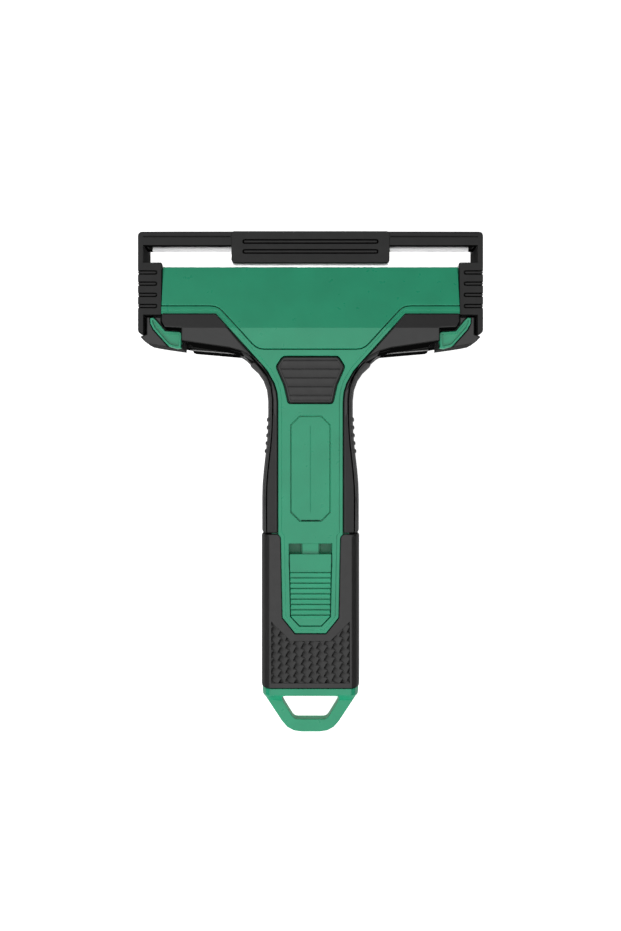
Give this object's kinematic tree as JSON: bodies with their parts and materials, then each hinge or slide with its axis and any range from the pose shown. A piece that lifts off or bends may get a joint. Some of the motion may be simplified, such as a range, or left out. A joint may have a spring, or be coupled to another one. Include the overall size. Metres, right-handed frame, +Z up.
{
  "type": "cleaning scraper",
  "caption": "T-shaped hand scraper: a wide steel blade under a pull-off guard, corner levers, a slide button, and a pull-out tray of spare blades with a hanging loop.",
  "frame": {"origin": "under the middle of the bounding box, at the height of the flat back", "axes": "+Z up out of the front face, +Y along the tool towards the blade's edge, +X to the right as seen from the front"},
  "size_m": [0.108, 0.16, 0.0244],
  "materials": {
    "green_plastic": "fine satin moulding",
    "black_plastic": "satin moulding",
    "guard_plastic": "satin moulding",
    "grip_rubber": "soft moulded grip",
    "blade_steel": "ground, with a bright bevel",
    "fastener_steel": "plain"
  },
  "bodies": {
    "body": {"rear_shell": "black_plastic", "jaw_frame": "black_plastic", "blade": "blade_steel", "clamp_plate": "green_plastic", "front_shell": "green_plastic", "left_wing": "black_plastic", "right_wing": "black_plastic", "left_side_grip": "grip_rubber", "right_side_grip": "grip_rubber", "thumb_pad": "grip_rubber", "lower_sleeve": "grip_rubber", "button_spring": "fastener_steel", "left_latch_pin": "fastener_steel", "right_latch_pin": "fastener_steel", "clamp_screw_1": "fastener_steel", "clamp_screw_2": "fastener_steel", "clamp_screw_3": "fastener_steel", "shell_screw_1": "fastener_steel", "shell_screw_2": "fastener_steel"},
    "guard": {"blade_guard": "guard_plastic"},
    "tray": {"blade_tray": "green_plastic", "spare_blade_1": "blade_steel", "spare_blade_2": "blade_steel", "spare_blade_3": "blade_steel", "spare_blade_4": "blade_steel", "spare_blade_5": "blade_steel"},
    "button": {"latch_button": "green_plastic"},
    "left_lever": {"left_latch": "black_plastic", "left_latch_tab": "green_plastic"},
    "right_lever": {"right_latch": "black_plastic", "right_latch_tab": "green_plastic"}
  },
  "joints": [
    {"name": "guard_slide", "type": "slide", "parent": "body", "child": "guard", "axis": [0, 1, 0], "range_m": [0, 0.04]},
    {"name": "tray_slide", "type": "slide", "parent": "body", "child": "tray", "axis": [0, -1, 0], "range_m": [0, 0.102]},
    {"name": "button_slide", "type": "slide", "parent": "body", "child": "button", "axis": [0, 1, 0], "range_m": [0, 0.003], "stiffness_N_per_m": 400, "deforming": ["button_spring"]},
    {"name": "left_lever_hinge", "type": "hinge", "parent": "body", "child": "left_lever", "pos_m": [-0.0486, 0.0513, 0.0095], "axis": [0, 0, 1], "range_deg": [0, 6], "stiffness_Nm_per_rad": 0.3},
    {"name": "right_lever_hinge", "type": "hinge", "parent": "body", "child": "right_lever", "pos_m": [0.0486, 0.0513, 0.0095], "axis": [0, 0, -1], "range_deg": [0, 6], "stiffness_Nm_per_rad": 0.3}
  ]
}
